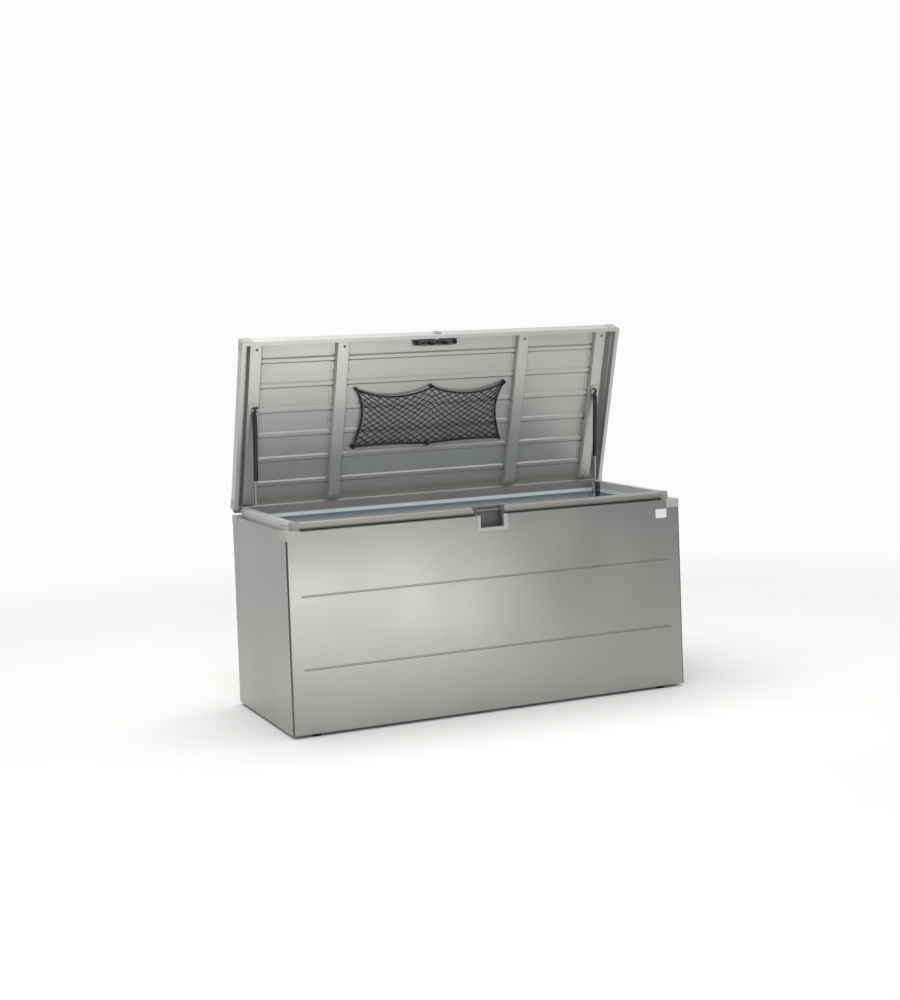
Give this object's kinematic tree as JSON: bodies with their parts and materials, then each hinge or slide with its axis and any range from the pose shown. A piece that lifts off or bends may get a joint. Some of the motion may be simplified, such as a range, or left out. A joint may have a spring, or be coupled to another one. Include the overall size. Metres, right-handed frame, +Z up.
{
  "type": "garden storage box",
  "caption": "Sheet metal deck storage box with a rimmed body, a hinged lid held open by gas struts, a latch, corner caps and a net pocket.",
  "frame": {"origin": "on the ground, in the middle of the body's footprint", "axes": "+Z up, +X to the right seen from the front, -Y towards the front"},
  "size_m": [1.603, 0.724, 1.4324],
  "materials": {
    "silver_sheet": "satin metallic silver-grey paint on sheet steel",
    "inner_sheet": "satin metallic silver-grey paint on folded sheet steel",
    "light_sheet": "light satin grey paint on steel",
    "zinc_sheet": "hot-dip galvanised sheet",
    "cap_plastic": "light grey moulded plastic",
    "rubber": "black rubber",
    "label": "bare white plate",
    "plated_steel": "zinc plated steel",
    "rod_steel": "ground and plated rod",
    "black_paint": "satin black paint on steel",
    "dark_plastic": "charcoal moulded plastic",
    "lock_metal": "die-cast zinc, satin",
    "net_cord": "black elastic cord net"
  },
  "bodies": {
    "box": {"front_wall": "silver_sheet", "back_wall": "silver_sheet", "side_wall_left": "silver_sheet", "side_wall_right": "silver_sheet", "floor": "zinc_sheet", "base_rails": "zinc_sheet", "foot_fl": "rubber", "foot_fr": "rubber", "foot_bl": "rubber", "foot_br": "rubber", "post_fl": "zinc_sheet", "post_fr": "zinc_sheet", "post_bl": "zinc_sheet", "post_br": "zinc_sheet", "body_cap_fl": "cap_plastic", "body_cap_fr": "cap_plastic", "body_cap_bl": "cap_plastic", "body_cap_br": "cap_plastic", "rim_front_left": "silver_sheet", "rim_front_right": "silver_sheet", "rim_left": "light_sheet", "rim_right": "light_sheet", "rim_back": "silver_sheet", "rim_corner_left": "cap_plastic", "rim_corner_right": "cap_plastic", "grip_liner": "cap_plastic", "strike_plate": "plated_steel", "label_plate": "label", "hinge_bracket_left": "light_sheet", "hinge_bracket_right": "light_sheet", "hinge_pins": "plated_steel", "strut_bracket_left": "black_paint", "strut_bracket_right": "black_paint", "body_screws": "plated_steel"},
    "lid": {"lid_shell": "silver_sheet", "stiffener_1": "inner_sheet", "stiffener_2": "inner_sheet", "stiffener_3": "inner_sheet", "stiffener_4": "inner_sheet", "lid_cap_fl": "cap_plastic", "lid_cap_fr": "cap_plastic", "lid_cap_bl": "cap_plastic", "lid_cap_br": "cap_plastic", "hinge_leaf_left": "light_sheet", "hinge_leaf_right": "light_sheet", "lid_stud_left": "black_paint", "lid_stud_right": "black_paint", "latch_housing": "dark_plastic", "lid_bumpers": "rubber", "lock_barrel": "lock_metal", "net": "net_cord", "net_hooks": "dark_plastic", "lid_rivets": "plated_steel"},
    "lock_plug": {"lock_plug": "lock_metal"},
    "latch_slider": {"latch_slider": "dark_plastic"},
    "strut_tube_left": {"strut_tube_left": "black_paint"},
    "strut_rod_left": {"strut_rod_left": "rod_steel"},
    "strut_tube_right": {"strut_tube_right": "black_paint"},
    "strut_rod_right": {"strut_rod_right": "rod_steel"}
  },
  "joints": [
    {"name": "lid_hinge", "type": "hinge", "parent": "box", "child": "lid", "pos_m": [0, 0.34, 0.767], "axis": [1, 0, 0], "range_deg": [0, 72], "stiffness_Nm_per_rad": 22, "springref_deg": -60.16},
    {"name": "lock_turn", "type": "hinge", "parent": "lid", "child": "lock_plug", "pos_m": [0, 0.13296, 1.42524], "axis": [0, 0.309, -0.9511], "range_deg": [0, 90]},
    {"name": "latch_slide", "type": "slide", "parent": "lid", "child": "latch_slider", "axis": [1, 0, 0], "range_m": [0, 0.008]},
    {"name": "strut_left_tilt", "type": "hinge", "parent": "lid", "child": "strut_tube_left", "pos_m": [-0.732, 0.21309, 1.15371], "axis": [1, 0, 0], "range_deg": [0, 0.8104]},
    {"name": "strut_left_slide", "type": "slide", "parent": "strut_tube_left", "child": "strut_rod_left", "axis": [0, 0.0802, -0.9968], "range_m": [-0.13548, 0]},
    {"name": "strut_right_tilt", "type": "hinge", "parent": "lid", "child": "strut_tube_right", "pos_m": [0.732, 0.21309, 1.15371], "axis": [1, 0, 0], "range_deg": [0, 0.8104]},
    {"name": "strut_right_slide", "type": "slide", "parent": "strut_tube_right", "child": "strut_rod_right", "axis": [0, 0.0802, -0.9968], "range_m": [-0.13548, 0]}
  ],
  "couplings": [
    {"joint": "latch_slide", "follows": "lock_turn", "m_per_rad": 0.005093},
    {"joint": "strut_left_tilt", "follows": "lid_hinge", "ratio": 0.011242},
    {"joint": "strut_left_slide", "follows": "lid_hinge", "m_per_rad": -0.10773},
    {"joint": "strut_right_tilt", "follows": "lid_hinge", "ratio": 0.011242},
    {"joint": "strut_right_slide", "follows": "lid_hinge", "m_per_rad": -0.10773}
  ]
}
